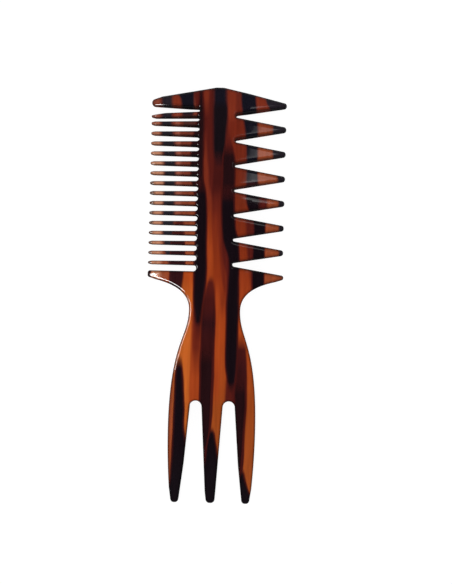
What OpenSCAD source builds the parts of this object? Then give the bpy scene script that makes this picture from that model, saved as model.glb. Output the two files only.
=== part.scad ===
// Three-way styling comb, sawn from one sheet and polished: a flat spine with
// fine teeth on one side and wide teeth on the other, over a waisted handle
// that ends in three lifting tines. It lies on its back, with the crown of the
// head towards +Y, and its origin is under the middle of its length and width.
// Places along the comb are given as a distance down from the crown.

/* [Sheet] */
// Length from the crown of the head to the ends of the tines
comb_length = 220; // [212:1:240]
// Width across the tips of the guards
comb_width = 72; // [66:1:80]
// Thickness of the sheet along the spine and the handle
sheet_t = 5; // [4:0.1:6]
// Thickness that is left at the tips of the teeth and the tines
tip_t = 2.2; // [1.8:0.1:3]
// Width of the bevel round every edge
edge_bevel = 0.8; // [0.4:0.05:0.9]

/* [Head] */
// From the middle of the comb to the roots of the fine teeth
spine_left = 10.3; // [8:0.1:13]
// From the middle of the comb to the roots of the wide teeth
spine_right = 8.8; // [7:0.1:12]
// Length of the flat at the crown
crown_flat = 3; // [1:0.5:12]
// Fall from the crown to the brow of the left guard
brow_fall = 5; // [3:0.1:7]
// From the crown down to the middle of the upper guards' tips
guard_tip_d = 8.4; // [7:0.1:9]

/* [Fine teeth] */
// Number of fine teeth
fine_count = 16; // [12:1:18]
// Width of a fine tooth at its root
fine_root_w = 2.2; // [2:0.1:2.8]
// Width of a fine tooth where its point begins
fine_tip_w = 1.8; // [1.4:0.1:2]
// Length of the point at the end of a fine tooth
fine_point = 2.3; // [1.5:0.1:3]
// From the crown down to the upper guard's edge, where the row starts
fine_top_d = 10.9; // [10:0.1:11.5]
// From the crown down to the lower guard's edge, where the row ends
fine_low_d = 97.4; // [94:0.1:100]
// How much narrower the first gap is, between the first tooth and its guard
first_narrow = 0.9; // [0:0.1:1.2]
// How far the tip of the first tooth droops
first_droop = 0.9; // [0:0.1:1.2]

/* [Wide teeth] */
// Number of wide teeth
wide_count = 6; // [5:1:7]
// Width of the gap between two wide teeth at the root
wide_gap_root = 2; // [1.8:0.1:3]
// Width of a wide tooth close to its tip
wide_tip_w = 2.9; // [2:0.1:3.2]
// From the crown down to the first gap's centre line
wide_top_d = 14.8; // [14:0.1:16]
// From the crown down to the last gap's centre line
wide_low_d = 93.3; // [90:0.1:95]

/* [Handle] */
// Half of the width at the neck
neck_half = 13.5; // [11:0.1:16]
// From the crown down to the neck
neck_d = 117.6; // [114:0.1:122]
// Half of the width at the widest part of the handle
belly_half = 23; // [20:0.1:26]
// From the crown down to the widest part of the handle
belly_d = 181.5; // [176:0.5:186]
// From the middle of the comb to where the lower guards' underside runs straight
under_x = 31.6; // [30:0.1:33]
// From the crown down to that place on the underside
under_d = 102.1; // [101.5:0.1:103]

/* [Tines] */
// From the middle of the comb to the centre of each gap between the tines
fork_x = 8.7; // [8:0.1:9.5]
// From the crown down to the roots of those gaps
fork_d = 165.6; // [160:0.1:170]
// Radius of the round root of each gap
fork_r = 3.3; // [2.8:0.1:3.6]
// Radius of the round end of each tine
tine_end_r = 2.1; // [1.8:0.1:2.4]
// From the middle of the comb to the middle of an outer tine's end
outer_tine_x = 18.8; // [17.5:0.1:20]
// From the middle of the comb to an outer tine's inner edge where it is fullest
tine_full_x = 14.7; // [14:0.1:15.2]
// From the crown down to that place on the tine
tine_full_d = 200; // [190:1:205]

/* [Hidden] */

crown = comb_length / 2;
half_w = comb_width / 2;
mid_z = sheet_t / 2;

// Radius of the rounding at the crown and of the other blunt corners
crown_r = 5;
corner_r = 2;
// How far the teeth run into the spine behind their roots
bite = 1.5;
// How far a cut runs past the faces of the sheet
past = 0.5;
// Largest bevel as a share of a piece's thickness, and of its corner's radius
bevel_per_t = 0.35;
bevel_per_r = 0.6;

// Fine teeth and their gaps are counted up from the lower guard
fine_low_y = crown - fine_low_d;
fine_row = fine_low_d - fine_top_d + first_narrow;
fine_gap = (fine_row - fine_count * fine_root_w) / (fine_count + 1);
fine_pitch = fine_gap + fine_root_w;
function fine_gap_low(k) = fine_low_y + k * fine_pitch;
function fine_gap_w(k) = k < fine_count ? fine_gap : fine_gap - first_narrow;
function fine_tooth_y(k) = fine_low_y + fine_gap + fine_root_w / 2 + k * fine_pitch;
// Centre line of the round roots of the fine gaps
fine_root_x = spine_left + fine_gap / 2;

wide_pitch = (wide_low_d - wide_top_d) / wide_count;
wide_low_y = crown - wide_low_d;
tip_gap = wide_pitch - wide_tip_w;
// How far the tips of the wide teeth and of the guard above them fall short
wide_short = 0.4;
wide_tip_x = half_w - wide_short - wide_tip_w / 2;
wide_slope = (tip_gap - wide_gap_root) / 2 / (wide_tip_x - spine_right);
wide_angle = atan(wide_slope);
function wide_gap_y(k) = wide_low_y + k * wide_pitch;
function wide_gap_half(x) = wide_gap_root / 2 + wide_slope * (x - spine_right);

// Radius of the circle that closes a gap of half-angle a, w wide at its root
function root_radius(w, a) = w / 2 / (1 / cos(a) - tan(a));

// Point at t on the cubic curve through four control points
function curve_point(p, t) =
    pow(1 - t, 3) * p[0] + 3 * pow(1 - t, 2) * t * p[1]
    + 3 * (1 - t) * t * t * p[2] + pow(t, 3) * p[3];

// Right edge of the handle, from under the guard through the neck to the belly,
// and how far the curve follows the direction that it has at each of them
neck = [neck_half, crown - neck_d];
belly = [belly_half, crown - belly_d];
under = [under_x, crown - under_d];
under_pull = [11.7, 2.7];
neck_pull_up = [0, 8];
neck_pull_down = [0, 15.5];
belly_pull = [0, 47];
SHOULDER = [under, under - under_pull, neck + neck_pull_up, neck];
FLANK = [neck, neck - neck_pull_down, belly + belly_pull, belly];
curve_steps = 16;
// Fall of the outer edge from the belly to the end of the tine
belly_drop = 0.00154;

EDGE_BY_Y = concat(
    [for (i = [curve_steps : -1 : 1])
        let (p = curve_point(FLANK, i / curve_steps)) [p[1], p[0]]],
    [for (i = [curve_steps : -1 : 0])
        let (p = curve_point(SHOULDER, i / curve_steps)) [p[1], p[0]]]
);
UNDER_BY_X = [for (i = [curve_steps : -1 : 0]) curve_point(SHOULDER, i / curve_steps)];

function edge_x(y) = y > belly[1]
    ? lookup(y, EDGE_BY_Y)
    : belly_half - belly_drop * pow(y - belly[1], 2);
function under_y(x) = lookup(x, UNDER_BY_X);

// Slopes of the two edges, which widen the bevel's inset in a section
step = 0.2;
function edge_slope(y) = (edge_x(y + step) - edge_x(y - step)) / (2 * step);
function under_slope(x) = (under_y(x + step) - under_y(x - step)) / (2 * step);
function inset(slope) = edge_bevel * sqrt(1 + slope * slope);

// Centre line of the round roots between the tines
fork_y = crown - fork_d - fork_r;

// Thickness of a tooth at x, of a guard at x and of a tine at y
function taper(at, from, to) = sheet_t + (tip_t - sheet_t)
    * min(1, max(0, (at - from) / (to - from)));
function tooth_t(x, root) = taper(x, root, half_w);
guard_thin_x = 16;
function guard_t(x) = taper(x, guard_thin_x, half_w);
function tine_t(y) = taper(-y, -fork_y, crown);

// Round post of the sheet, thinned evenly from both faces and bevelled
module post(x, y, r, t) {
    bevel = min(edge_bevel, bevel_per_t * t, bevel_per_r * r);
    translate([x, y, mid_z]) {
        cylinder(h = t - 2 * bevel, r = r, center = true);
        cylinder(h = t, r = r - bevel, center = true);
    }
}

// Round cut through the sheet with a bevel at both faces
module round_cut(x, y, r) {
    flare = edge_bevel + past;
    translate([x, y, 0]) {
        translate([0, 0, -past]) cylinder(h = sheet_t + 2 * past, r = r);
        translate([0, 0, sheet_t - edge_bevel]) cylinder(h = flare, r1 = r, r2 = r + flare);
        translate([0, 0, -past]) cylinder(h = flare, r1 = r + flare, r2 = r);
    }
}

// Eight corners of a bevelled section from a to b, t thick, as [across, z]
function section(a, b, inset_a, inset_b, t) =
    let (low = mid_z - t / 2, high = mid_z + t / 2, bevel = min(edge_bevel, bevel_per_t * t))
    [
        [a + inset_a, low], [b - inset_b, low], [b, low + bevel], [b, high - bevel],
        [b - inset_b, high], [a + inset_a, high], [a, high - bevel], [a, low + bevel]
    ];

// Closed solid through rows of eight corners, each row a list of points
module loft(rows) {
    n = len(rows[0]);
    last = len(rows) - 1;
    polyhedron(
        points = [for (row = rows) each row],
        faces = concat(
            [[for (i = [0 : n - 1]) i]],
            [for (k = [0 : last - 1], i = [0 : n - 1])
                [k * n + i, (k + 1) * n + i, k * n + (i + 1) % n]],
            [for (k = [0 : last - 1], i = [0 : n - 1])
                [k * n + (i + 1) % n, (k + 1) * n + i, (k + 1) * n + (i + 1) % n]],
            [[for (i = [n - 1 : -1 : 0]) last * n + i]]
        )
    );
}

// Flat bar between the two rows of teeth, with the webs that the gaps are cut in
module spine() {
    right_web = spine_right + root_radius(wide_gap_root, wide_angle) * (1 - sin(wide_angle));
    low_y = neck[1] + corner_r;
    translate([-fine_root_x, low_y, 0])
        cube([fine_root_x + right_web, crown - fine_top_d + corner_r - low_y, sheet_t]);
}

// Crown of the head and the two guards above the teeth
module head() {
    top_y = crown - crown_r;
    tip_y = crown - guard_tip_d;
    left_tip_r = 2.05;
    right_tip_r = 1.5;
    right_tip_x = half_w - wide_short - right_tip_r;
    brow_x = half_w - 6;
    left_under = crown - fine_top_d;
    right_under = wide_gap_y(wide_count) + wide_gap_root / 2;
    // Left guard, whose brow is a little fuller
    hull() {
        for (x = [-1, 1] * crown_flat / 2) post(x, top_y, crown_r, sheet_t);
        post(-brow_x, crown - brow_fall - corner_r, corner_r, tooth_t(brow_x, spine_left));
        post(-(half_w - left_tip_r), tip_y, left_tip_r, tip_t);
        post(-spine_left + bite, left_under + corner_r, corner_r, sheet_t);
    }
    // Right guard
    hull() {
        for (x = [-1, 1] * crown_flat / 2) post(x, top_y, crown_r, sheet_t);
        post(right_tip_x, tip_y, right_tip_r, tip_t);
        post(spine_right - bite, right_under + corner_r, corner_r, sheet_t);
        post(-spine_left + bite, left_under + corner_r, corner_r, sheet_t);
    }
}

// One fine tooth with its root at y, pointed over its last stretch
module fine_tooth(y, droop) {
    end_r = 0.45;
    tip_x = half_w - end_r;
    point_x = half_w - fine_point;
    point_droop = droop * (point_x - spine_left) / (tip_x - spine_left);
    point_t = tip_t - 0.4;
    hull() {
        post(-spine_left + bite, y, fine_root_w / 2, sheet_t);
        post(-spine_left, y, fine_root_w / 2, sheet_t);
        post(-point_x, y - point_droop, fine_tip_w / 2, tooth_t(point_x, spine_left));
        post(-tip_x, y - droop, end_r, point_t);
    }
}

// One wide tooth between gap k and the next one
module wide_tooth(k) {
    y = (wide_gap_y(k) + wide_gap_y(k + 1)) / 2;
    root_half = wide_pitch / 2 - wide_gap_half(spine_right - bite) - corner_r;
    hull() {
        for (side = [-1, 1]) post(spine_right - bite, y + side * root_half, corner_r, sheet_t);
        post(wide_tip_x, y, wide_tip_w / 2, tip_t);
    }
}

// Lower guard on one side, whose upper edge is given at the spine and at the tip
module lower_guard(side, root_top, tip_top) {
    end_r = 1.2;
    end_x = half_w - end_r;
    join_x = under[0] - 1;
    end_under = under[1] + 1.1;
    start_x = spine_right - bite;
    blend_x = 15;
    top_slope = (tip_top - root_top) / (end_x - spine_right);
    function top_y(x) = root_top + top_slope * (x - spine_right);
    function low_y(x) = under_y(max(x, blend_x));
    function low_inset(x) = x < blend_x ? 0 : inset(under_slope(x));
    xs = concat([start_x, blend_x - 0.01], [for (x = [blend_x : 1.5 : join_x]) x], [join_x]);
    mirror([side < 0 ? 1 : 0, 0, 0]) {
        loft([for (x = xs)
            [for (c = section(low_y(x), top_y(x), low_inset(x), edge_bevel, guard_t(x)))
                [x, c[0], c[1]]]]);
        hull() {
            post(end_x, tip_top - end_r, end_r, tip_t);
            post(end_x, end_under + end_r, end_r, tip_t);
            post(join_x - end_r, top_y(join_x) - end_r, end_r, guard_t(join_x - end_r));
            post(join_x - end_r, under_y(join_x - end_r) + end_r, end_r, guard_t(join_x - end_r));
        }
    }
}

// Waisted handle, lofted from inside the head down to the roots of the tine gaps
module handle() {
    top_y = under[1] - 3;
    blend_y = 0.5;
    ys = concat([fork_y], [for (y = [fork_y + 1.5 : 2.5 : blend_y]) y], [blend_y, top_y]);
    loft([for (y = ys)
        let (half = edge_x(min(y, blend_y)), cut = inset(edge_slope(min(y, blend_y))))
        [for (c = section(-half, half, cut, cut, sheet_t)) [-c[0], y, c[1]]]]);
}

// Three lifting tines, each a wedge with a round end
module tines() {
    end_y = -crown + tine_end_r;
    edge_r = 2.4;
    end_flat = 0.6;
    full_y = crown - tine_full_d;
    hull() {
        for (side = [-1, 1]) {
            post(side * (fork_x - fork_r - edge_r), fork_y, edge_r, sheet_t);
            post(side * end_flat / 2, end_y, tine_end_r, tip_t);
        }
    }
    for (side = [-1, 1]) hull() {
        post(side * (fork_x + fork_r + edge_r), fork_y, edge_r, sheet_t);
        post(side * (tine_full_x + edge_r), full_y, edge_r, tine_t(full_y));
        for (y = [fork_y : -6 : end_y + 6]) post(side * (edge_x(y) - edge_r), y, edge_r, tine_t(y));
        post(side * outer_tine_x, end_y, tine_end_r, tip_t);
    }
}

// Round roots of every gap, cut last so that their bevels run into the teeth
module gap_roots() {
    wide_r = root_radius(wide_gap_root, wide_angle);
    for (k = [0 : fine_count])
        let (r = fine_gap_w(k) / 2) round_cut(-fine_root_x, fine_gap_low(k) + r, r);
    for (k = [0 : wide_count]) round_cut(spine_right + wide_r, wide_gap_y(k), wide_r);
    for (side = [-1, 1]) round_cut(side * fork_x, fork_y, fork_r, $fn = 32);
}

module comb() {
    $fn = 16;
    color([0.36, 0.12, 0.06]) difference() {
        union() {
            spine();
            head();
            for (k = [0 : fine_count - 1])
                fine_tooth(fine_tooth_y(k), k == fine_count - 1 ? first_droop : 0);
            for (k = [0 : wide_count - 1]) wide_tooth(k);
            lower_guard(-1, fine_low_y, fine_low_y);
            lower_guard(1, wide_low_y - wide_gap_half(spine_right), wide_low_y - tip_gap / 2);
            handle();
            tines();
        }
        gap_roots();
    }
}

comb();
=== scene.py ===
"""Three-way tortoiseshell comb lying on its back on a pale studio floor.

The comb's sizes are millimetres in its own frame: X across, Y along with the crown
at +110, Z up from the back face. They become metres where a mesh is made. The
floor, the lights and the sky are given in metres.
"""

import math

import bpy
import numpy as np
from mathutils import Matrix, Vector, geometry


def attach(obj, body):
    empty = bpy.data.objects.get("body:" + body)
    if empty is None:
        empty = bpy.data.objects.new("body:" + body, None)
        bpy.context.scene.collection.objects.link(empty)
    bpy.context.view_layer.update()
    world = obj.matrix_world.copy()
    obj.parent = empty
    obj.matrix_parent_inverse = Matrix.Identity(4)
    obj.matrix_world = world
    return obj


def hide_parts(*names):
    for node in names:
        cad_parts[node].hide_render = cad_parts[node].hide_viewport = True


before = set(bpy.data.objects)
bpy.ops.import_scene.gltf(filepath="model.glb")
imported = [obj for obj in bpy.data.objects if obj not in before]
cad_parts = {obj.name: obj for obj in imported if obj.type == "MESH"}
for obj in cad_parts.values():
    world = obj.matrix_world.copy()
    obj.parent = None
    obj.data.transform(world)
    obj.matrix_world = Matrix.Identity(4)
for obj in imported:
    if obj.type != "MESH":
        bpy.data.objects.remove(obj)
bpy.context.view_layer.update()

MM = 0.001

# Sheet
CROWN = 110.0
HALF_WIDTH = 36.0
SHEET_T = 5.0
TIP_T = 2.2
# Guards and tines start to thin towards their tips here, and teeth at their roots
GUARD_THIN_X = 16.0
TINE_THIN_Y = -58.9

# Bevels: width and depth on the handle, on the upper guards and wide teeth, and on the fine teeth
HANDLE_BEVEL = (1.45, 0.5)
BROAD_BEVEL = (2.05, 1.05)
SLIGHT_BEVEL = (0.8, 0.6)
# The deepest that a bevel gets, as a share of the thickness
BEVEL_PER_T = 0.44
# The bevel changes left of, right of and above these, over this distance to either side
FINE_SIDE_X = -9.0
WIDE_SIDE_X = 8.0
SHOULDER_Y = 7.0
BEVEL_EASE = 4.0

# Rows of teeth: where their roots lie, and the middles of the gaps at both ends of each row.
# The topmost fine tooth is drawn with the head. The pitches are rounded, and the weld closes the
# little that this leaves open.
FINE_TEETH = 15
FINE_ROOT = -10.3
FINE_LOW = 14.136
FINE_HIGH = 93.201
FINE_PITCH = round((FINE_HIGH - FINE_LOW) / FINE_TEETH, 3)
WIDE_TEETH = 6
WIDE_ROOT = 8.8
WIDE_LOW = 16.7
WIDE_HIGH = 95.2
WIDE_PITCH = round((WIDE_HIGH - WIDE_LOW) / WIDE_TEETH, 3)
WIDE_GAP = 1.55
WIDE_TIP = 35.6
# Between these the sheet thins from the roots of the teeth: left side, then right side
TOP_GAPS = (98.0, WIDE_HIGH)
LOW_GAPS = (14.1, WIDE_LOW)

# Mesh: points per rounded corner, steps along the edge, and spacing of the points inside
CORNER_POINTS = 10
LONGEST_STEP = 0.6
SHORTEST_STEP = 0.05
FIELD_GRID = 1.3
# Rings of points follow the edge: close together at first, as on a quarter round this wide, and
# then evenly up to the broad bevel's width
STEEP_WIDTH = 1.05
STEEP_ANGLES = (15, 30, 45, 60, 75, 90)
EVEN_RINGS = 3
# A ring drops the points that come nearer to the edge than this share of its distance
RING_FIT = 0.985
# Points closer than this become one, on the outline and on the finished sheet
OUTLINE_WELD = 0.005
SHEET_WELD = 0.002

# The camera looks straight down on this point of the comb, from this height above its back
EYE = (5.8, 2.1)
EYE_HEIGHT = 260.0
EYE_TURN = 1.48
LENS = 29.85

# Right edge of the handle: a bow from a tine's straight up to the belly, a curve on to the waist
# and a curve on to the guard's underside. The bow has a point at every step, and is drawn in by
# this factor times the square of the distance below the belly.
BOW_FROM = -102
BOW_STEP = 3
BOW = 0.0013
BELLY = (23.08, -71.5)
WAIST = (13.5, -7.6)
UNDER_GUARD = (31.6, 7.9)
FLANK = (BELLY, (23.08, -24.5), (13.5, -23.1), WAIST)
FLANK_STEPS = 30
SWEEP = (WAIST, (13.5, 0.4), (19.9, 5.2), UNDER_GUARD)
SWEEP_STEPS = 24


def cubic(a, b, c, d, steps):
    """Points on a cubic curve after its first one."""
    points = []
    for i in range(1, steps + 1):
        t = i / steps
        s = 1 - t
        points.append(tuple(
            s ** 3 * a[k] + 3 * s * s * t * b[k] + 3 * s * t * t * c[k] + t ** 3 * d[k]
            for k in (0, 1)
        ))
    return points


def side_edge():
    """Right edge from the end of a tine's straight up to the guard's underside."""
    bow = [(BELLY[0] - BOW * (y - BELLY[1]) ** 2, y) for y in np.arange(BOW_FROM, BELLY[1], BOW_STEP)]
    points = bow + [BELLY] + cubic(*FLANK, FLANK_STEPS) + cubic(*SWEEP, SWEEP_STEPS)
    return [(float(x), float(y), 0.0) for x, y in points]


def other_side(corners):
    """The same corners on the other side of the comb, in the order that goes on round it."""
    return [(-x, y, r) for x, y, r in reversed(corners)]


# Corners of the outline, anticlockwise, each as x, y and the radius that rounds it
HEAD = [
    (WIDE_ROOT, WIDE_HIGH, 0), (WIDE_ROOT, 96.2, 1.1),
    (WIDE_TIP, 100.15, 1.5), (WIDE_TIP, 102.81, 1.5),
    (2.03, CROWN, 5), (-1.94, CROWN, 5), (-15, 107.45, 40),
    (-30.5, 104.94, 6), (-HALF_WIDTH, 103.07, 2.05),
    (-HALF_WIDTH, 99.59, 2.05),
    (FINE_ROOT, 99.1, 1.08), (FINE_ROOT, 96.94, 1.08),
    (-29, 96.05, 12), (-34.4, 95.15, 3), (-HALF_WIDTH, 94.75, 0.45),
    (-HALF_WIDTH, 93.95, 0.45), (-33.7, 93.4, 3),
    (FINE_ROOT, 94.48, 1.28), (FINE_ROOT, FINE_HIGH, 0),
]
LOWER_GUARD_LEFT = [
    (FINE_ROOT, FINE_LOW, 0), (FINE_ROOT, 12.6, 1.53),
    (-HALF_WIDTH, 12.6, 1.2), (-HALF_WIDTH, 9.31, 1.2),
]
LOWER_GUARD_RIGHT = [
    (HALF_WIDTH, 9.31, 1.2), (HALF_WIDTH, 11.42, 1.2),
    (WIDE_ROOT, 15.7, 1.16), (WIDE_ROOT, WIDE_LOW, 0),
]
FORK = [(5.77, -55.6, 3.19), (11.71, -55.6, 3.19)]
OUTER_TINE = [(14.5, -90, 60), (16.9, -CROWN, 1.88), (20.7, -CROWN, 1.88)]
CENTRE_TINE = [(-2.8, -104, 20), (-2.0, -CROWN, 2.1), (2.4, -CROWN, 2.1), (2.85, -104, 20)]
HANDLE = (
    LOWER_GUARD_LEFT + other_side(side_edge()) + other_side(FORK + OUTER_TINE)
    + CENTRE_TINE + FORK + OUTER_TINE + side_edge() + LOWER_GUARD_RIGHT
)
# One tooth of each row, about its own middle, with half a gap on either side
FINE_TOOTH = [
    (FINE_ROOT, -FINE_PITCH / 2, 0), (FINE_ROOT, -0.95, 1.5),
    (-34.2, -0.96, 2.5), (-HALF_WIDTH, -0.52, 0.6),
    (-HALF_WIDTH, 0.55, 0.6), (-34.2, 1.0, 2.5),
    (FINE_ROOT, 1.35, 1.5), (FINE_ROOT, FINE_PITCH / 2, 0),
]
WIDE_TOOTH = [
    (WIDE_ROOT, -WIDE_PITCH / 2, 0), (WIDE_ROOT, WIDE_GAP / 2 - WIDE_PITCH / 2, 0.8),
    (WIDE_TIP, -1.15, 1.45), (WIDE_TIP, 1.58, 1.45),
    (WIDE_ROOT, WIDE_PITCH / 2 - WIDE_GAP / 2, 0.8), (WIDE_ROOT, WIDE_PITCH / 2, 0),
]
# Named inputs of the tree that turns the rows of teeth into one outline
TEETH_SIZES = {
    "First Fine Tooth": FINE_LOW + FINE_PITCH / 2, "Fine Pitch": FINE_PITCH,
    "First Wide Tooth": WIDE_LOW + WIDE_PITCH / 2, "Wide Pitch": WIDE_PITCH,
    "Weld": OUTLINE_WELD,
}
# Named inputs of the tree that turns the flat plate into the sheet
SHEET_SIZES = {
    "Sheet Thickness": SHEET_T, "Tip Thickness": TIP_T,
    "Half Width": HALF_WIDTH, "Crown": CROWN,
    "Guard Thins From": GUARD_THIN_X, "Tines Thin From": -TINE_THIN_Y,
    "Fine Root": -FINE_ROOT, "Wide Root": WIDE_ROOT,
    "Left Top Gap": TOP_GAPS[0], "Right Top Gap": TOP_GAPS[1],
    "Left Low Gap": LOW_GAPS[0], "Right Low Gap": LOW_GAPS[1],
    "Handle Bevel Width": HANDLE_BEVEL[0], "Handle Bevel Depth": HANDLE_BEVEL[1],
    "Broad Bevel Width": BROAD_BEVEL[0], "Broad Bevel Depth": BROAD_BEVEL[1],
    "Slight Bevel Width": SLIGHT_BEVEL[0], "Slight Bevel Depth": SLIGHT_BEVEL[1],
    "Fine Side": FINE_SIDE_X, "Wide Side": WIDE_SIDE_X, "Shoulder": SHOULDER_Y,
    "Bevel Ease": BEVEL_EASE, "Weld": SHEET_WELD,
}


def corner_chains(name, chains):
    """Object of loose edges through chains of corners, each with its rounding."""
    mesh = bpy.data.meshes.new(name)
    points = []
    edges = []
    for chain in chains:
        start = len(points)
        points += chain
        edges += [(i, i + 1) for i in range(start, len(points) - 1)]
    mesh.from_pydata([(x * MM, y * MM, 0) for x, y, _ in points], edges, [])
    rounding = mesh.attributes.new("rounding", "FLOAT", "POINT")
    rounding.data.foreach_set("value", [r * MM for _, _, r in points])
    piece = bpy.data.objects.new(name, mesh)
    bpy.context.scene.collection.objects.link(piece)
    return piece


class Tree:
    """A node tree in the making, with short ways to add and link nodes."""

    def __init__(self, tree):
        self.tree = tree

    def add(self, kind, sockets=None, **settings):
        """New node with its settings made and then its sockets fed."""
        node = self.tree.nodes.new(kind)
        for key, value in settings.items():
            setattr(node, key, value)
        for key, value in (sockets or {}).items():
            self.feed(node.inputs[key], value)
        return node

    def feed(self, socket, value):
        """Links another node's socket to this one, or gives this one a value."""
        if isinstance(value, bpy.types.NodeSocket):
            self.tree.links.new(value, socket)
        else:
            socket.default_value = value

    def math(self, operation, *values):
        return self.add("ShaderNodeMath", dict(enumerate(values)), operation=operation).outputs[0]

    def mixed(self, share, none, full, kind="FLOAT", **settings):
        """From one value or colour to another as the share goes from 0 to 1."""
        ends = {"Factor": share, "A": none, "B": full}
        return self.add("ShaderNodeMix", ends, data_type=kind, **settings).outputs["Result"]


class Group(Tree):
    """A tree with named inputs and results of its own."""

    def __init__(self, name, kind, inputs, results):
        super().__init__(bpy.data.node_groups.new(name, kind))
        for direction, sockets in (("INPUT", inputs), ("OUTPUT", results)):
            for label, socket in sockets:
                self.tree.interface.new_socket(label, in_out=direction, socket_type="NodeSocket" + socket)
        self.given = self.tree.nodes.new("NodeGroupInput").outputs
        self.result = self.tree.nodes.new("NodeGroupOutput").inputs


def rows_of_teeth():
    """Tree that sets a tooth's outline along each side and rounds every corner."""
    t = Group("Rows of teeth", "GeometryNodeTree", [
        ("Geometry", "Geometry"),
        ("Fine Tooth", "Object"), ("Fine Teeth", "Int"),
        ("Wide Tooth", "Object"), ("Wide Teeth", "Int"),
        ("Points per Corner", "Int"),
    ] + [(label, "Float") for label in TEETH_SIZES], [("Geometry", "Geometry")])
    joined = t.add("GeometryNodeJoinGeometry")
    for side in ("Fine", "Wide"):
        start = t.add("ShaderNodeCombineXYZ", {"Y": t.given[f"First {side} Tooth"]}).outputs[0]
        stride = t.add("ShaderNodeCombineXYZ", {"Y": t.given[f"{side} Pitch"]}).outputs[0]
        line = t.add("GeometryNodeMeshLine", {
            "Count": t.given[f"{side} Teeth"], "Start Location": start, "Offset": stride,
        })
        tooth = t.add("GeometryNodeObjectInfo", {"Object": t.given[f"{side} Tooth"]})
        row = t.add("GeometryNodeInstanceOnPoints", {
            "Points": line.outputs["Mesh"], "Instance": tooth.outputs["Geometry"],
        })
        real = t.add("GeometryNodeRealizeInstances", {"Geometry": row.outputs["Instances"]})
        t.feed(joined.inputs["Geometry"], real.outputs["Geometry"])
    t.feed(joined.inputs["Geometry"], t.given["Geometry"])
    closed = t.add("GeometryNodeMergeByDistance", {
        "Geometry": joined.outputs["Geometry"], "Distance": t.given["Weld"],
    })
    loop = t.add("GeometryNodeMeshToCurve", {"Mesh": closed.outputs["Geometry"]})
    radius = t.add("GeometryNodeInputNamedAttribute", {"Name": "rounding"}, data_type="FLOAT")
    rounded = t.add("GeometryNodeFilletCurve", {
        "Curve": loop.outputs["Curve"], "Count": t.given["Points per Corner"],
        "Radius": radius.outputs["Attribute"],
    }, mode="POLY")
    edges = t.add("GeometryNodeCurveToMesh", {"Curve": rounded.outputs["Curve"]})
    t.feed(t.result["Geometry"], edges.outputs["Mesh"])
    return t.tree


def thickness_at(t, x, y):
    """Thickness of the sheet, which falls towards the tips of teeth, guards and tines."""
    given = t.given
    right = t.math("GREATER_THAN", x, 0.0)

    def by_side(gap):
        return t.mixed(right, given[f"Left {gap}"], given[f"Right {gap}"])

    def thinned(distance, start, end):
        return t.add("ShaderNodeMapRange", {
            "Value": distance, "From Min": start, "From Max": end,
            "To Min": given["Sheet Thickness"], "To Max": given["Tip Thickness"],
        }).outputs["Result"]

    below_top = t.math("LESS_THAN", y, by_side("Top Gap"))
    above_low = t.math("GREATER_THAN", y, by_side("Low Gap"))
    among_teeth = t.math("MULTIPLY", below_top, above_low)
    tooth_root = t.mixed(right, given["Fine Root"], given["Wide Root"])
    thins_from = t.mixed(among_teeth, given["Guard Thins From"], tooth_root)
    tips = thinned(t.math("ABSOLUTE", x), thins_from, given["Half Width"])
    tines = thinned(t.math("MULTIPLY", y, -1.0), given["Tines Thin From"], given["Crown"])
    on_handle = t.math("LESS_THAN", y, 0.0)
    return t.mixed(on_handle, tips, tines)


def bevel_at(t, x, y, thickness):
    """Width and depth of the bevel.

    It is slight among the fine teeth, and broad on the upper guards and to the right.
    """
    given = t.given

    def eased(value, edge, direction=1.0):
        """From 0 to 1 as the value passes the edge, or from 1 to 0."""
        off = t.math("MULTIPLY", t.math("SUBTRACT", value, edge), direction)
        return t.add("ShaderNodeMapRange", {
            "Value": off,
            "From Min": t.math("MULTIPLY", given["Bevel Ease"], -1.0), "From Max": given["Bevel Ease"],
        }, interpolation_type="SMOOTHSTEP").outputs["Result"]

    beside_teeth = t.math("MULTIPLY", eased(y, given["Left Top Gap"], -1.0), eased(y, given["Left Low Gap"]))
    fine = t.math("MULTIPLY", eased(x, given["Fine Side"], -1.0), beside_teeth)
    wide = t.math("MULTIPLY", eased(x, given["Wide Side"]), eased(y, given["Shoulder"]))
    broad = t.math("MAXIMUM", eased(y, given["Left Top Gap"]), wide)

    def chosen(size):
        coarse = t.mixed(broad, given[f"Handle Bevel {size}"], given[f"Broad Bevel {size}"])
        return t.mixed(fine, coarse, given[f"Slight Bevel {size}"])

    deepest = t.math("MULTIPLY", thickness, given["Bevel per Thickness"])
    return chosen("Width"), t.math("MINIMUM", chosen("Depth"), deepest)


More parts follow.
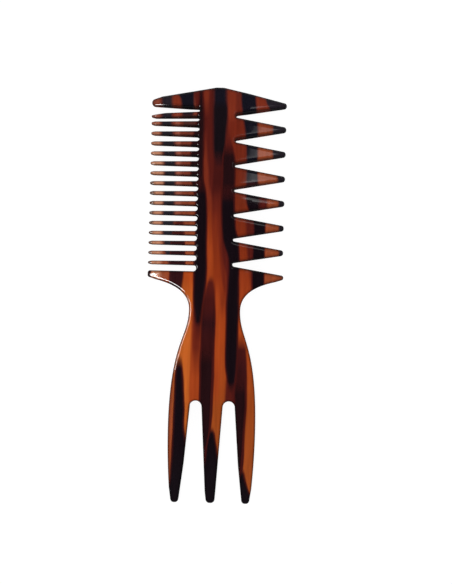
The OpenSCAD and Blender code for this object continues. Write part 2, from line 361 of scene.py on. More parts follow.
def sheet_from_plate():
    """Tree that gives a flat plate its thickness, its thin tips and its rounded edges."""
    t = Group("Sawn and polished sheet", "GeometryNodeTree", [
        ("Geometry", "Geometry"), ("Material", "Material"), ("Bevel per Thickness", "Float"),
    ] + [(label, "Float") for label in SHEET_SIZES], [("Geometry", "Geometry")])
    given = t.given
    position = t.add("GeometryNodeInputPosition").outputs[0]
    place = t.add("ShaderNodeSeparateXYZ", {"Vector": position}).outputs
    x = place["X"]
    y = place["Y"]
    thickness = thickness_at(t, x, y)
    width, depth = bevel_at(t, x, y, thickness)

    # Distance in from the sawn edge, as a share of the bevel's width
    neighbours = t.add("GeometryNodeInputMeshEdgeNeighbors").outputs["Face Count"]
    rim = t.add("FunctionNodeCompare", {
        "A": neighbours, "B": 1,
    }, data_type="INT", operation="EQUAL").outputs[0]
    edge = t.add("GeometryNodeSeparateGeometry", {
        "Geometry": given["Geometry"], "Selection": rim,
    }, domain="EDGE").outputs["Selection"]
    near = t.add("GeometryNodeProximity", {"Geometry": edge}, target_element="EDGES")
    kept = t.add("GeometryNodeStoreNamedAttribute", {
        "Geometry": given["Geometry"], "Name": "bevel_share",
        "Value": t.math("DIVIDE", near.outputs["Distance"], width),
    }, data_type="FLOAT", domain="POINT").outputs["Geometry"]
    stored = t.add("GeometryNodeInputNamedAttribute", {"Name": "bevel_share"}, data_type="FLOAT")
    share = t.math("MINIMUM", stored.outputs["Attribute"], 1.0)

    # Height of the face above the sheet's middle: a wall, and a quarter round over it
    fall = t.math("SUBTRACT", 1.0, share)
    left_over = t.math("MAXIMUM", t.math("SUBTRACT", 1.0, t.math("MULTIPLY", fall, fall)), 0.0)
    round_over = t.math("SQRT", left_over)
    wall = t.math("SUBTRACT", t.math("MULTIPLY", thickness, 0.5), depth)
    rise = t.math("ADD", wall, t.math("MULTIPLY", depth, round_over))
    middle = t.math("MULTIPLY", given["Sheet Thickness"], 0.5)

    def at_height(mesh, height, **more):
        spot = t.add("ShaderNodeCombineXYZ", {"X": x, "Y": y, "Z": height}).outputs[0]
        return t.add("GeometryNodeSetPosition", {
            "Geometry": mesh, "Position": spot, **more,
        }).outputs["Geometry"]

    # Front face, the wall drawn down from its edge, and the same face turned over as the back
    front = at_height(kept, t.math("ADD", middle, rise))
    down = t.add("ShaderNodeCombineXYZ", {"Z": given["Sheet Thickness"]}).outputs[0]
    sides = t.add("GeometryNodeExtrudeMesh", {
        "Mesh": front, "Selection": rim, "Offset": down, "Offset Scale": -1.0,
    }, mode="EDGES")
    foot = t.math("SUBTRACT", middle, wall)
    walled = at_height(sides.outputs["Mesh"], foot, Selection=sides.outputs["Top"])
    back = at_height(kept, t.math("SUBTRACT", middle, rise))
    back = t.add("GeometryNodeFlipFaces", {"Mesh": back}).outputs["Mesh"]
    both = t.add("GeometryNodeJoinGeometry")
    for part in (back, walled):
        t.feed(both.inputs["Geometry"], part)
    closed = t.add("GeometryNodeMergeByDistance", {
        "Geometry": both.outputs["Geometry"], "Distance": given["Weld"],
    })
    smooth = t.add("GeometryNodeSetShadeSmooth", {"Geometry": closed.outputs["Geometry"]})
    real = t.add("GeometryNodeRealizeInstances", {"Geometry": smooth.outputs["Geometry"]})
    dressed = t.add("GeometryNodeSetMaterial", {
        "Geometry": real.outputs["Geometry"], "Material": given["Material"],
    })
    t.feed(t.result["Geometry"], dressed.outputs["Geometry"])
    return t.tree


def grown(piece, tree, sizes, others):
    """Plain mesh that a tree makes of a piece, with the tree's inputs set by name.

    The sizes are millimetres and go in as metres. The others go in as they are.
    """
    values = {label: size * MM for label, size in sizes.items()} | others
    modifier = piece.modifiers.new(tree.name, "NODES")
    modifier.node_group = tree
    for socket in tree.interface.items_tree:
        if socket.in_out == "INPUT" and socket.name in values:
            modifier[socket.identifier] = values[socket.name]
    piece.update_tag()
    bpy.context.view_layer.update()
    seen = piece.evaluated_get(bpy.context.evaluated_depsgraph_get())
    mesh = bpy.data.meshes.new_from_object(seen)
    piece.modifiers.remove(modifier)
    return mesh


def loop_in_order(mesh):
    """Points of a closed loop of edges, anticlockwise, in millimetres."""
    beside = [[] for _ in mesh.vertices]
    for e in mesh.edges:
        a, b = e.vertices
        beside[a].append(b)
        beside[b].append(a)
    loose = [i for i, others in enumerate(beside) if len(others) != 2]
    if loose:
        raise ValueError(f"the outline is open at {len(loose)} points")
    order = [0, beside[0][0]]
    while True:
        a, b = beside[order[-1]]
        ahead = b if a == order[-2] else a
        if ahead == order[0]:
            break
        order.append(ahead)
    if len(order) != len(mesh.vertices):
        raise ValueError("the outline is in more than one loop")
    points = np.array([mesh.vertices[i].co[:2] for i in order]) / MM
    x, y = points.T
    area = np.sum(x * np.roll(y, -1) - y * np.roll(x, -1)) / 2
    return points if area > 0 else points[::-1]


def even_steps(points, longest, shortest):
    """The same loop with its long steps divided and its shortest ones left out."""
    kept = [points[0]]
    for p in points[1:]:
        if np.hypot(*(p - kept[-1])) >= shortest:
            kept.append(p)
    if np.hypot(*(kept[0] - kept[-1])) < shortest:
        kept.pop()
    even = []
    for a, b in zip(kept, kept[1:] + kept[:1]):
        count = max(1, math.ceil(np.hypot(*(b - a)) / longest))
        even += [a + (b - a) * k / count for k in range(count)]
    return np.array(even)


def distance_to(loop, points):
    """Distance from each point to the nearest stretch of the loop."""
    run = np.roll(loop, -1, axis=0) - loop
    length = np.sum(run * run, axis=1)
    at_a_time = 400
    nearest = []
    for some in np.array_split(points, max(1, len(points) // at_a_time)):
        off = some[:, None, :] - loop
        along = np.clip(np.sum(off * run, axis=2) / length, 0, 1)
        gap = off - along[..., None] * run
        nearest.append(np.sqrt(np.min(np.sum(gap * gap, axis=2), axis=1)))
    return np.concatenate(nearest)


def bevel_rings():
    """Distances in from the edge for the rings of points, closer together where the bevel is steep."""
    steep = [STEEP_WIDTH * (1 - math.cos(math.radians(angle))) for angle in STEEP_ANGLES]
    rest = BROAD_BEVEL[0] - STEEP_WIDTH
    return steep + [STEEP_WIDTH + rest * k / EVEN_RINGS for k in range(1, EVEN_RINGS + 1)]


def plate(loop, ring_steps, grid):
    """Flat mesh inside the loop, with rings of points close behind its edge."""
    forward = np.roll(loop, -1, axis=0) - np.roll(loop, 1, axis=0)
    inward = np.column_stack([-forward[:, 1], forward[:, 0]])
    inward /= np.linalg.norm(inward, axis=1)[:, None]
    inner = []
    for step in ring_steps:
        ring = loop + inward * step
        inner.append(ring[distance_to(loop, ring) > RING_FIT * step])
    # Rows of points that make even triangles
    low, high = loop.min(axis=0), loop.max(axis=0)
    xs = np.arange(low[0], high[0], grid)
    ys = np.arange(low[1], high[1], grid * math.sqrt(0.75))
    field = np.array([(x + (row % 2) * grid / 2, y) for row, y in enumerate(ys) for x in xs])
    inner.append(field[distance_to(loop, field) > ring_steps[-1] + 0.5 * grid])
    points = np.concatenate([loop] + inner)
    inside_the_loop = 1
    tolerance = 1e-5
    corners, _, faces, *_ = geometry.delaunay_2d_cdt(
        [Vector(p) for p in points], [], [list(range(len(loop)))], inside_the_loop, tolerance)
    used = {corner: i for i, corner in enumerate(sorted({corner for face in faces for corner in face}))}
    mesh = bpy.data.meshes.new("plate")
    mesh.from_pydata(
        [(corners[i].x * MM, corners[i].y * MM, 0) for i in used], [],
        [[used[i] for i in face] for face in faces])
    return mesh


# Colours of the sheet, as screen values
COLOURS = {
    "black": (20, 11, 17),
    "ink": (22, 20, 30),
    "soot": (21, 15, 20),
    # Slate is a dark streak with a painted grey sheen over it
    "slate_with_sheen": (40, 34, 41),
    "umber": (35, 14, 17),
    "plum": (50, 18, 21),
    "maroon": (70, 22, 20),
    "wine": (88, 28, 22),
    "russet": (112, 38, 23),
    "cocoa": (78, 42, 37),
    "clay": (120, 52, 36),
    "brick": (126, 47, 29),
    "rust": (146, 54, 23),
    "copper": (152, 72, 42),
    # Rose, where it lies on the tip of the upper left guard, holds a painted highlight
    "rose": (150, 80, 62),
    "amber": (162, 65, 27),
    "orange": (172, 71, 27),
    "honey": (196, 97, 38),
    # Bark is painted shade at the points of the lower fine teeth
    "tip_shade": (112, 76, 60),
    # Tan is painted light: the glow of light through the thin tips of the fine teeth and the lower left
    # guard, with painted sheen
    "tan": (194, 132, 101),
}
# Streaks of these colours thin out at their sides into a redder fringe
FRINGED = ("black", "umber", "plum")
FRINGE = (84, 25, 20)
FRINGE_WIDTH = 0.9
# Ground of the sheet at places from the tines to the crown
GROUND = [
    (-110, (158, 76, 34)),
    (-60, (158, 72, 28)),
    (-20, (172, 70, 27)),
    (0, (158, 62, 27)),
    (12, (148, 56, 25)),
    (26, (130, 46, 21)),
    (50, (120, 44, 24)),
    (90, (113, 38, 23)),
    (110, (104, 39, 29)),
]
# Painted shade across the bevel: the tone of the colour from the wall (0) to where the bevel meets the face
# (1), darker towards the sawn edge
RIM_SHADE = [(0, 0.4), (0.015, 0.2), (0.22, 0.27), (0.55, 0.76), (1, 1)]
# Noise that is drawn out along the comb: its steps per metre, and how wide it lets a side wander
GRAIN_STEPS = (600, 40, 250)
GRAIN_WANDER = 0.5
DRIFT_STEPS = (160, 45, 200)
DRIFT_WANDER = 1.2
# Darker and lighter fibres: the range of the grain that counts, and its tones
FIBRE_GRAIN = (0.3, 0.7)
FIBRE_TONES = (0.86, 1.12)
POLISH = 0.05

# The streaks were charted at the height of the sheet's middle. The front face lies nearer to the
# camera, so there they are drawn in towards the middle of its view.
FACE_SCALE = round((EYE_HEIGHT - SHEET_T) / (EYE_HEIGHT - SHEET_T / 2), 4)
# Each streak has its colour, the softness of its sides, how far its ends fade (one length, or one
# for the lower end and one for the upper end), and its course along the comb as (y, left, right).
# Later streaks lie over earlier ones.
STREAKS = [
    # Fine teeth and their guards
    ("clay", 1, 2, [(114, -40, -10), (50, -40, -10), (12.6, -40, -10)]),
    ("copper", 1, (1, 34), [(62, -40, -10), (12.6, -40, -10), (9, -40, -18)]),
    ("brick", 0.8, 2, [(114, -25, -20.4), (98, -25, -20.6), (90, -25, -21)]),
    ("rose", 0.9, 8, [
        (99, -24, -21.6), (80, -23, -20.4), (60, -23, -19.4), (44, -23, -19.4), (38, -23, -20),
    ]),
    ("copper", 1.2, 1, [(13.4, -40, -25), (4, -40, -25)]),
    # Painted highlight: rose, pale amber with sheen, on the tip of the upper left guard
    ("rose", 1.2, (6, 14), [(110, -40, -32.4), (98, -40, -32.2), (82, -40, -31)]),
    # Painted light: tan glow and sheen on the thin tips of the fine teeth and the lower left guard
    ("tan", 1.3, (9, 20), [
        (96, -40, -31.9), (90, -40, -31.6), (80, -40, -30.8), (69, -40, -29.8), (60, -40, -29.4),
        (38, -40, -29.2), (22, -40, -29), (13, -40, -29.4), (4, -40, -29.6),
    ]),
    # Painted shade: a dark strip along the left rim of the lower left guard
    ("umber", 0.9, 2, [(15, -40, -35), (11, -40, -34.9), (5, -40, -35.2)]),
    # Painted shade at the points of the lower fine teeth
    ("tip_shade", 0.9, (4, 4), [
        (66, -40, -34.8), (58, -40, -34), (44, -40, -33.9), (34, -40, -34.2), (12, -40, -34.6),
    ]),
    # Painted sheen: slate, a dark streak with grey sheen, across the fine teeth
    ("slate_with_sheen", 1.2, 1, [
        (114, -31.6, -25.8), (104, -31.3, -25.6), (98, -31, -25.2), (90, -31, -25),
        (85, -30.8, -24.2), (80, -30.1, -23.3), (75, -29.5, -22.9), (69, -29.1, -22.9),
        (60, -29, -22.8), (45, -29, -22.8), (34, -28.9, -22.8), (27, -28.2, -22.8),
        (22, -27.2, -22.8), (14, -23.9, -22),
    ]),
    ("wine", 0.9, (1, 5), [
        (44, -21.2, -18.4), (38, -22, -17.7), (30, -23.4, -17.2), (20, -24.2, -16.7),
        (4, -24.1, -16.5),
    ]),
    ("plum", 0.7, (1, 14), [
        (41, -22.6, -17.6), (36, -22.8, -17.3), (30, -23.6, -17), (20, -24.2, -16.6),
        (10, -24.1, -16.5), (-4, -24.1, -16.5),
    ]),
    ("ink", 1.0, 2, [
        (114, -24.4, -13.8), (108, -23.2, -13.8), (105.6, -21.6, -13.9), (103.4, -20.7, -13.9),
        (99, -20, -13.8), (93.5, -19.4, -15.2),
    ]),
    ("cocoa", 0.9, 3, [(97, -19.6, -12), (90, -18.9, -12), (85, -15.6, -12)]),
    ("wine", 0.6, 3, [(114, -14, -9.5), (105, -13.6, -9.6), (101, -12.6, -10), (98, -11.4, -10.6)]),
    # Wide teeth and their guards
    ("brick", 0.8, 2, [(114, 19, 26), (97, 19.6, 27)]),
    ("copper", 0.8, (4, 20), [
        (101, 20, 30), (89, 20.6, 29.6), (76, 20.6, 31), (63, 21, 33), (50, 21, 38), (37, 21, 38),
        (4, 21, 38),
    ]),
    ("wine", 1.0, (26, 4), [(46, 14.8, 22), (37, 15.4, 22), (24, 16.4, 22), (8, 18, 22), (-4, 18, 22)]),
    ("umber", 0.7, 4, [(44, 18.4, 24), (37, 19.4, 24), (24, 19.4, 24), (2, 19.7, 24)]),
    ("black", 0.6, (1, 8), [
        (62, 15.3, 22), (57, 15.4, 23.4), (52, 15.4, 25.6), (47, 16.6, 25.8), (42, 19, 25.8),
        (37, 19.8, 25.7), (24, 19.7, 25.6), (11, 19.8, 25.7), (2, 20, 26),
    ]),
    ("wine", 1.8, 3, [(57, 22.6, 26.6), (44, 23, 26.6)]),
    ("ink", 0.8, (8, 1), [
        (114, 10.9, 18.6), (108, 11.2, 18.9), (104, 11.4, 19.3), (97, 12.2, 19.8), (89, 13.6, 20.5),
        (83, 14.4, 20.9), (76, 15, 21), (63, 15.2, 21.2), (54, 15.2, 23),
    ]),
    # Painted sheen: slate, dark with grey sheen, on the tips of the wide teeth
    ("slate_with_sheen", 0.8, (10, 1), [
        (114, 24.6, 42), (104, 24.8, 42), (101.5, 26, 42), (96, 28, 42), (83, 28.4, 42),
        (76, 28.8, 42), (70, 29.8, 42), (63, 31.6, 42), (50, 32.4, 42), (37, 32.9, 42),
        (20, 33.4, 42), (8, 34.4, 42),
    ]),
    # Spine
    ("wine", 1.1, 2, [
        (114, -10, -3), (104, -10, -3.6), (98, -9.4, -3.2), (90, -9.2, -2.8), (82, -9.2, -2.3),
        (76, -9.4, -1.9), (70, -9.4, -1.4), (60, -9.4, 0), (44, -8, 2),
    ]),
    ("ink", 1.3, (4, 2), [
        (114, -3.5, 3.6), (104, -3.3, 3.7), (98, -3.1, 4), (90, -2.9, 3.8), (82, -2.6, 3.5),
        (75, -2.2, 4), (66, -1.4, 4),
    ]),
    ("soot", 1.3, (8, 4), [
        (104, -3.3, 3.7), (98, -3.1, 4), (90, -2.9, 3.8), (82, -2.6, 3.5), (75, -2.2, 4),
        (66, -1.4, 4),
    ]),
    ("maroon", 0.7, (3, 11), [(77.5, -2.4, 2.6), (66, -2.6, 2.6), (54, -2.6, 2.6), (46, -2.6, 2.6)]),
    ("wine", 0.6, (3, 10), [
        (60, -3, 2), (50, -3, 2.1), (42, -3, 2.3), (34, -3, 3), (26, -3, 5), (18, -3, 7),
        (4, -3, 7),
    ]),
    ("russet", 0.8, (16, 16), [
        (56, -5.6, 1.8), (42, -5.6, 2.1), (34, -5.6, 2.6), (26, -5.6, 3.0), (18, -5.6, 3.8),
        (10, -5.6, 6), (0, -5, 6.6), (-12, -5, 6.8),
    ]),
    ("rust", 0.9, (12, 32), [
        (46, -5.6, 0), (30, -5.6, 1.2), (20, -5.6, 2.2), (10, -5.6, 3.2), (0, -5.6, 5),
        (-8, -5.6, 6),
    ]),
    ("brick", 0.8, (11, 2), [(114, -8.6, -5.8), (104, -8.4, -5.8), (94, -8, -6)]),
    ("brick", 0.9, (8, 18), [
        (90, -7.8, -6.2), (76, -8.2, -6.2), (66, -8.4, -5.2), (60, -7.6, -4.6), (54, -6.6, -3.6),
        (44, -5.6, -2.6),
    ]),
    ("amber", 0.8, (3, 30), [
        (54, -5.4, -3), (40, -5.4, -2.5), (30, -5.4, -2.2), (20, -5.4, -1.6), (12, -5.4, -1.2),
        (6, -5.4, -1.6),
    ]),
    ("brick", 0.8, 4, [(114, 4.1, 8), (98, 4.6, 8.6), (92, 5.4, 8.6)]),
    ("wine", 0.8, (3, 10), [(92, 3.4, 6), (82, 3.4, 6.6), (78, 3.4, 8.2), (74, 3.4, 8.6)]),
    ("umber", 0.8, (4, 7), [
        (81.4, 3.2, 6), (78, 3, 7.6), (74, 2.6, 8.5), (65, 2.5, 8.8), (55, 2.2, 8.7),
        (46, 2.3, 8.9), (36, 3, 10),
    ]),
    # Handle
    ("amber", 0.7, (10, 9), [(10, 0.2, 2.6), (0, 0.2, 2.8), (-30, 0.4, 3.4), (-60, 0.4, 3.4)]),
    ("orange", 0.7, (14, 12), [(0, 0.8, 2.6), (-12, 1, 3.2), (-44, 1, 3.6)]),
    ("orange", 0.7, (8, 1), [(15, -16.7, -11.7), (2, -17.4, -11.7), (-14, -18, -11.8)]),
    ("honey", 0.8, (3, 12), [
        (9, -16.9, -11.8), (0, -18, -11.8), (-12, -18, -12), (-30, -22, -12), (-60, -26, -12),
        (-76, -26, -12), (-90, -26, -13),
    ]),
    ("amber", 0.9, (3, 30), [
        (-6, -12.4, -7), (-20, -12.4, -6.8), (-45, -12.4, -6.8), (-66, -12.4, -6.8),
    ]),
    ("russet", 1.1, (16, 3), [(-6, -11.4, -8), (-17, -11.6, -7.2), (-26, -11.4, -7), (-44, -10.4, -7)]),
    ("maroon", 1.0, (12, 2), [(-4, -11, -8), (-12, -10.4, -7.4), (-26, -9.6, -7)]),
    ("copper", 0.8, 6, [(-30, -26, -20.9), (-50, -26, -20.9), (-112, -26, -21)]),
    ("wine", 0.9, 5, [(-40, 7.4, 9.4), (-46, 6.8, 11), (-52, 6.6, 11.6), (-66, 6.4, 12)]),
    ("wine", 0.9, (9, 4), [
        (11, -3.2, -1.6), (8, -3.9, -1.1), (5, -4.7, -0.6), (1, -5.4, -0.2), (-4, -6, 0),
        (-12, -6.6, 0),
    ]),
    ("maroon", 0.7, (9, 7), [
        (5, -4.8, -1), (1, -5.6, -0.5), (-4, -6.2, -0.2), (-12, -6.8, 0.1), (-24, -7, 0.2),
    ]),
    ("plum", 0.8, (3, 12), [
        (-2, -6.2, -0.4), (-10, -6.7, 0), (-20, -6.7, 0.2), (-30, -6.7, 0.2), (-44, -6.7, 0.2),
        (-60, -6.8, 0), (-68, -7, -0.5), (-76, -7, -1.2), (-86, -5.4, -1.6), (-94, -4, -2.4),
    ]),
    ("umber", 0.8, (2, 20), [
        (-16, -6.4, -0.6), (-44, -6.6, -0.6), (-60, -6.6, -0.9), (-74, -6.6, -1.4), (-82, -6, -2.4),
    ]),
    ("black", 0.9, (1, 4), [
        (-69.5, 0, 0.6), (-73, -0.9, 1.3), (-77, -1.8, 2), (-81, -2.4, 2.8), (-86, -2.9, 3.5),
        (-90, -3.2, 4.2), (-95, -4, 5), (-114, -6, 6),
    ]),
    ("soot", 0.9, (1, 14), [(-82, -2, 3), (-90, -3.2, 4.2), (-96, -4, 5), (-114, -6, 6)]),
    ("maroon", 0.8, (2, 9), [
        (-19.5, 11, 14.2), (-23, 10.6, 15.8), (-26, 10, 16.8), (-30, 9, 17.4), (-36, 9, 17.9),
        (-42, 9, 18), (-50, 10, 18), (-60, 11, 17.8),
    ]),
    ("plum", 0.7, (2, 12), [
        (-28, 10, 16.4), (-32, 10, 17), (-36, 10, 17.4), (-42, 10, 17.7), (-50, 11.2, 17.7),
        (-60, 11.4, 17.6), (-80, 12, 17.3), (-92, 12, 16.8), (-100, 12, 15.6),
    ]),
    ("umber", 0.8, (2, 16), [
        (-36, 12, 16.8), (-50, 11.6, 17.3), (-60, 12, 17.3), (-80, 12, 16.6), (-96, 12, 15.4),
    ]),
    ("black", 1.1, (2, 8), [
        (-31, -18.4, -17.6), (-35, -19.4, -17.2), (-40, -19.8, -16.7), (-45, -20, -16.1),
        (-50, -20.1, -15.7), (-60, -20.3, -15.2), (-70, -20.4, -14.9), (-80, -20.5, -13.6),
        (-90, -20.8, -12.6), (-100, -21.4, -12), (-114, -25, -12),
    ]),
    ("soot", 0.9, (1, 16), [
        (-80, -20, -14), (-90, -20.6, -12.8), (-100, -21.2, -12), (-114, -25, -12),
    ]),
    ("black", 1.1, (1, 3), [
        (-91, 16.4, 17.2), (-96, 15.6, 17.9), (-100, 14, 18.9), (-104, 13, 20.2), (-108, 13, 21.8),
        (-114, 13, 25),
    ]),
    ("soot", 1.3, (1, 6), [(-98.5, 14.4, 18.2), (-103, 13, 19.5), (-107, 13, 21.3), (-114, 13, 25)]),
    # Down the right of the spine into the handle
    ("black", 0.9, (6, 10), [
        (60, 2.6, 8.4), (46, 2.4, 8.9), (42, 2.6, 9.2), (38, 2.9, 9.5), (34, 3.3, 10.2),
        (30, 3.8, 11.2), (26, 4.8, 11.9), (21, 6.3, 12.3), (15, 6.7, 12.4), (5, 6.6, 12.4),
        (-8, 6.4, 12.5), (-20, 6.4, 12.5), (-26, 6.4, 12.4), (-32, 6.5, 12.4), (-38, 6.8, 12.4),
        (-44, 7.6, 12), (-52, 9, 11),
    ]),
    # Left side of the spine and the roots of the fine teeth
    ("umber", 0.9, 3, [
        (114, -10.6, -9.6), (98, -11.4, -8.6), (90, -12.4, -8.1), (85, -13.6, -8.1),
        (80, -14.6, -8.1), (70, -14.6, -8.3), (62, -14, -8), (57, -12.8, -7), (50, -11.4, -6),
    ]),
    ("black", 1.0, (3, 10), [
        (64, -11.6, -9), (58, -11.4, -7), (52, -11.4, -6.1), (45, -11.4, -5.6), (30, -11.4, -5.3),
        (15, -11.4, -5.3), (5, -11.5, -5.5), (-2, -11.2, -6.2), (-10, -10.3, -7.2), (-17, -9.4, -8),
    ]),
]


def linear(colour):
    """Colour of a light of that screen value."""
    shares = [c / 255 for c in colour]
    return tuple(c / 12.92 if c <= 0.04 else ((c + 0.055) / 1.055) ** 2.4 for c in shares) + (1,)


def streak_group():
    """Node group: how much of a streak and of its fringe there is at a place across the comb.

    Its ramps are smooth steps, which stop at 0 and 1 without a clamp. A clamp would be one more
    node in each, and with this many streaks the renderer runs out of room.
    """
    g = Group("Streak", "ShaderNodeTree", [
        ("Across", "Float"), ("Sides", "Color"), ("Softness", "Float"), ("Fringe", "Float"),
    ], [("Amount", "Float"), ("Fringe", "Float")])
    left, right, strength = g.add("ShaderNodeSeparateColor", {"Color": g.given["Sides"]}).outputs
    from_left = g.math("SUBTRACT", g.given["Across"], left)
    from_right = g.math("SUBTRACT", right, g.given["Across"])
    width = g.math("SUBTRACT", right, left)

    def ramp(value, low, high):
        return g.add("ShaderNodeMapRange", {
            "Value": value, "From Min": low, "From Max": high,
        }, interpolation_type="SMOOTHSTEP", clamp=False).outputs["Result"]

    def between(low, high):
        both = g.math("MULTIPLY", ramp(from_left, low, high), ramp(from_right, low, high))
        closed = ramp(width, 0.0, g.math("MULTIPLY", g.given["Softness"], 2.0))
        return g.math("MULTIPLY", g.math("MULTIPLY", both, closed), strength)

    g.feed(g.result["Amount"], between(g.math("MULTIPLY", g.given["Softness"], -1.0), g.given["Softness"]))
    g.feed(g.result["Fringe"], between(g.math("MULTIPLY", g.given["Fringe"], -1.0), 0.0))
    return g.tree


def set_course(mapping, course, fade):
    """Puts a streak's course into the curves of red, green and blue.

    Red gives its left side along the comb, green its right side and blue its strength. The
    fourth curve, which works on all three, changes nothing.
    """
    def face(value, centre):
        return centre + (value - centre) * FACE_SCALE

    stations = sorted(
        (face(y, EYE[1]) / CROWN, face(left, EYE[0]) / HALF_WIDTH, face(right, EYE[0]) / HALF_WIDTH)
        for y, left, right in course)
    low, high = stations[0][0], stations[-1][0]
    low_fade, high_fade = [run / CROWN for run in (fade if isinstance(fade, tuple) else (fade, fade))]
    tracks = [
        [(y, left) for y, left, _ in stations],
        [(y, right) for y, _, right in stations],
        [(low, 0), (low + low_fade, 1), (high - high_fade, 1), (high, 0)],
        [(low, low), (high, high)],
    ]
    mapping.clip_min_x = -1
    mapping.clip_min_y = -1
    for curve, track in zip(mapping.curves, tracks):
        curve.points[0].location = track[0]
        curve.points[1].location = track[-1]
        for spot in track[1:-1]:
            curve.points.new(*spot)
    for point in mapping.curves[2].points:
        point.handle_type = "VECTOR"
    mapping.update()


def set_stops(node, stops):
    """Puts (position, colour) stops into a colour ramp."""
    elements = node.color_ramp.elements
    for i, (position, colour) in enumerate(stops):
        stop = elements[i] if i < 2 else elements.new(1.0)
        stop.position = position
        stop.color = colour


def acetate():
    """Polished tortoiseshell sheet: a warm ground with streaks that run the length of the comb. Some streaks
    hold painted sheen, glow and shade, and painted shade darkens the bevels towards the sawn edge.
    """
    material = bpy.data.materials.new("tortoiseshell acetate")
    material.use_nodes = True
    m = Tree(material.node_tree)
    shader = m.tree.nodes["Principled BSDF"]
    where = m.add("ShaderNodeTexCoord").outputs["Object"]
    place = m.add("ShaderNodeSeparateXYZ", {"Vector": where}).outputs

    def noise(steps, detail):
        space = m.add("ShaderNodeMapping", {"Vector": where, "Scale": steps}).outputs["Vector"]
        return m.add("ShaderNodeTexNoise", {"Vector": space, "Scale": 1.0, "Detail": detail}).outputs["Fac"]

    def wandered(across, by, reach):
        return m.math("MULTIPLY_ADD", m.math("SUBTRACT", by, 0.5), reach * MM, across)

    grain = noise(GRAIN_STEPS, 3.0)
    drift = noise(DRIFT_STEPS, 1.0)
    wander = wandered(wandered(place["X"], drift, DRIFT_WANDER), grain, GRAIN_WANDER)
    # Half widths across and half lengths along, so that both run from -1 to 1
    across = m.math("MULTIPLY", wander, 1 / (HALF_WIDTH * MM))
    along = m.math("MULTIPLY", place["Y"], 1 / (CROWN * MM))

    ground = m.add("ShaderNodeValToRGB", {"Fac": m.math("MULTIPLY_ADD", along, 0.5, 0.5)})
    set_stops(ground, [((y / CROWN + 1) / 2, linear(colour)) for y, colour in GROUND])
    colour = ground.outputs["Color"]
    streak = streak_group()
    # The curves read and give colours, because a change of type in each streak takes room too
    down = m.add("ShaderNodeCombineColor", {"Red": along, "Green": along, "Blue": along}).outputs["Color"]
    for name, softness, fade, course in STREAKS:
        sides = m.add("ShaderNodeRGBCurve", {"Color": down})
        set_course(sides.mapping, course, fade)
        amount = m.add("ShaderNodeGroup", {
            "Across": across, "Sides": sides.outputs["Color"],
            "Softness": softness / HALF_WIDTH, "Fringe": FRINGE_WIDTH / HALF_WIDTH,
        }, node_tree=streak).outputs
        if name in FRINGED:
            colour = m.mixed(amount["Fringe"], colour, linear(FRINGE), "RGBA")
        colour = m.mixed(amount["Amount"], colour, linear(COLOURS[name]), "RGBA")

    # Fibres, and painted shade that darkens the colour across the bevel towards the sawn edge
    fibre = m.add("ShaderNodeMapRange", {
        "Value": grain, "From Min": FIBRE_GRAIN[0], "From Max": FIBRE_GRAIN[1],
        "To Min": FIBRE_TONES[0], "To Max": FIBRE_TONES[1],
    }).outputs["Result"]
    edge = m.add("ShaderNodeAttribute", attribute_name="bevel_share").outputs["Fac"]
    # Painted shade on the bevel, darkest at the sawn wall
    rim = m.add("ShaderNodeValToRGB", {"Fac": edge})
    set_stops(rim, [(share, (tone, tone, tone, 1)) for share, tone in RIM_SHADE])
    tone = m.math("MULTIPLY", fibre, rim.outputs["Color"])
    colour = m.mixed(1.0, colour, tone, "RGBA", blend_type="MULTIPLY")
    m.feed(shader.inputs["Base Color"], colour)
    m.feed(shader.inputs["Roughness"], POLISH)
    return material


def comb_sheet():
    """The comb's mesh: its outline, filled as a flat plate and worked up into the sheet."""
    outline = corner_chains("outline", [HEAD, HANDLE])
    fine_tooth = corner_chains("fine tooth", [FINE_TOOTH])
    wide_tooth = corner_chains("wide tooth", [WIDE_TOOTH])
    loop = loop_in_order(grown(outline, rows_of_teeth(), TEETH_SIZES, {
        "Fine Tooth": fine_tooth, "Fine Teeth": FINE_TEETH,
        "Wide Tooth": wide_tooth, "Wide Teeth": WIDE_TEETH,
        "Points per Corner": CORNER_POINTS,
    }))
    loop = even_steps(loop, LONGEST_STEP, SHORTEST_STEP)
    blank = bpy.data.objects.new("blank", plate(loop, bevel_rings(), FIELD_GRID))
    bpy.context.scene.collection.objects.link(blank)
    mesh = grown(blank, sheet_from_plate(), SHEET_SIZES, {
        "Material": acetate(), "Bevel per Thickness": BEVEL_PER_T,
    })
    mesh.name = "comb"
    for spare in (outline, fine_tooth, wide_tooth, blank):
        bpy.data.objects.remove(spare)
    return mesh


# Studio, in metres: the floor is flat, curves up all round and ends in a wall
FLOOR_FLAT = 1.2
FLOOR_CURVE = 0.8
FLOOR_WALL = (1.1, 1.4)
FLOOR_SIDES = 64
FLAT_RINGS = 3
CURVE_ANGLES = range(10, 91, 10)
# The floor lies this far below the comb, so that the two don't touch
FLOOR_DROP = 0.0001
FLOOR_GREY = 0.1
FLOOR_GLOW = 0.94
# Brightness of the sky at heights from the floor's level (0) to straight up (1)
SKY = [(0, 0.02), (0.02, 0.3), (0.45, 0.3), (0.75, 0.02)]
# The camera sees nothing that is nearer than this
NEAREST_SEEN = 0.01


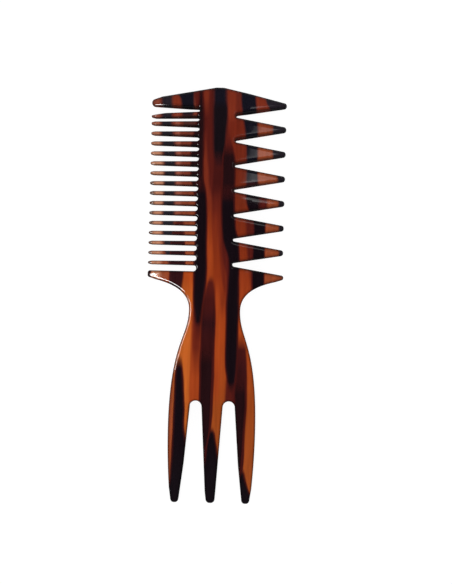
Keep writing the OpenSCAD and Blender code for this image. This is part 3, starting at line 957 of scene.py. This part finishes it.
def floor_mesh():
    """Rings of the floor from its middle out and up, and a point in the middle."""
    flat = [(FLOOR_FLAT * k / FLAT_RINGS, 0) for k in range(1, FLAT_RINGS + 1)]
    curve = [
        (FLOOR_FLAT + FLOOR_CURVE * math.sin(a), FLOOR_CURVE - FLOOR_CURVE * math.cos(a))
        for a in np.radians(CURVE_ANGLES)
    ]
    wall = [(FLOOR_FLAT + FLOOR_CURVE, height) for height in FLOOR_WALL]
    rings = flat + curve + wall
    turns = [2 * math.pi * k / FLOOR_SIDES for k in range(FLOOR_SIDES)]
    points = [(r * math.cos(turn), r * math.sin(turn), z - FLOOR_DROP) for r, z in rings for turn in turns]
    points.append((0, 0, -FLOOR_DROP))
    faces = [(k, (k + 1) % FLOOR_SIDES, len(points) - 1) for k in range(FLOOR_SIDES)]
    for ring in range(len(rings) - 1):
        inner = ring * FLOOR_SIDES
        outer = inner + FLOOR_SIDES
        for k in range(FLOOR_SIDES):
            n = (k + 1) % FLOOR_SIDES
            faces.append((inner + k, outer + k, outer + n, inner + n))
    mesh = bpy.data.meshes.new("floor")
    mesh.from_pydata(points, [], faces)
    for face in mesh.polygons:
        face.use_smooth = True
    return mesh


def floor_paint():
    """Matt paint with a glow of its own, which keeps the floor even and pale."""
    paint = bpy.data.materials.new("floor")
    paint.use_nodes = True
    shader = paint.node_tree.nodes["Principled BSDF"]
    shader.inputs["Base Color"].default_value = (FLOOR_GREY, FLOOR_GREY, FLOOR_GREY, 1)
    shader.inputs["Roughness"].default_value = 1
    shader.inputs["Specular IOR Level"].default_value = 0
    shader.inputs["Emission Color"].default_value = (1, 1, 1, 1)
    shader.inputs["Emission Strength"].default_value = FLOOR_GLOW
    return paint


def backdrop():
    """Pale floor that curves up all round, far from the comb, and isn't mirrored in it."""
    ground = bpy.data.objects.new("floor", floor_mesh())
    bpy.context.scene.collection.objects.link(ground)
    ground.data.materials.append(floor_paint())
    ground.visible_glossy = False


def softbox(name, place, size, brightness, turn=0, mirrored=True):
    """Soft light whose own face looks that bright, facing the comb and turned about its own middle."""
    data = bpy.data.lights.new(name, "AREA")
    data.shape = "RECTANGLE"
    data.size, data.size_y = size
    data.energy = brightness * math.pi * size[0] * size[1]
    lamp = bpy.data.objects.new(name, data)
    lamp.location = place
    away = Vector(place).normalized()
    across = (Vector((1, 0, 0)) - away * away.x).normalized()
    upright = Matrix((across, away.cross(across), away)).transposed()
    lamp.rotation_euler = (upright @ Matrix.Rotation(math.radians(turn), 3, "Z")).to_euler()
    lamp.visible_glossy = mirrored
    bpy.context.scene.collection.objects.link(lamp)


def sky():
    """Dark studio with a paler band low down, for the sheen at flat angles."""
    world = bpy.data.worlds.new("studio")
    bpy.context.scene.world = world
    world.use_nodes = True
    w = Tree(world.node_tree)
    toward = w.add("ShaderNodeTexCoord").outputs["Generated"]
    height = w.add("ShaderNodeSeparateXYZ", {"Vector": toward}).outputs["Z"]
    band = w.add("ShaderNodeValToRGB", {"Fac": height})
    set_stops(band, [(z, (tone, tone, tone, 1)) for z, tone in SKY])
    w.feed(w.tree.nodes["Background"].inputs["Color"], band.outputs["Color"])


comb = bpy.data.objects.new("comb_sheet", comb_sheet())
bpy.context.scene.collection.objects.link(comb)
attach(comb, "root")
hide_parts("comb")

backdrop()
# Broad fill lights, which are not mirrored in the sheet
softbox("left fill", (-0.68, 0.10, 0.72), (0.5, 0.6), 2.6, mirrored=False)
softbox("right fill", (0.70, 0.07, 0.70), (0.4, 0.5), 2.0, mirrored=False)
softbox("head fill", (0.07, 0.74, 0.67), (0.6, 0.35), 1.7, mirrored=False)
softbox("handle fill", (0.07, -0.74, 0.67), (0.6, 0.35), 3.5, mirrored=False)
# Lights that are mirrored: three make the veils on the wide teeth, one the patch on the left lower
# guard and one the line beside the waist
softbox("small light", (0.190, 0.2432, 0.944), (0.095, 0.028), 2.4, turn=-17)
softbox("small light's halo", (0.196, 0.346, 0.944), (0.086, 0.168), 0.65, turn=-6)
softbox("small light's inner halo", (0.203, 0.346, 0.944), (0.070, 0.168), 0.65, turn=-8)
softbox("lamp at the left", (-0.3155, 0.0370, 0.944), (0.0185, 0.0125), 60.0)
softbox("left light", (-0.345, -0.085, 0.944), (0.080, 0.150), 34.0)
sky()
bpy.context.scene.view_settings.view_transform = "Standard"

lens = bpy.data.cameras.new("camera")
lens.lens = LENS
lens.clip_start = NEAREST_SEEN
camera = bpy.data.objects.new("camera", lens)
camera.location = (EYE[0] * MM, EYE[1] * MM, EYE_HEIGHT * MM)
camera.rotation_euler = (0, 0, math.radians(EYE_TURN))
bpy.context.scene.collection.objects.link(camera)
bpy.context.scene.camera = camera
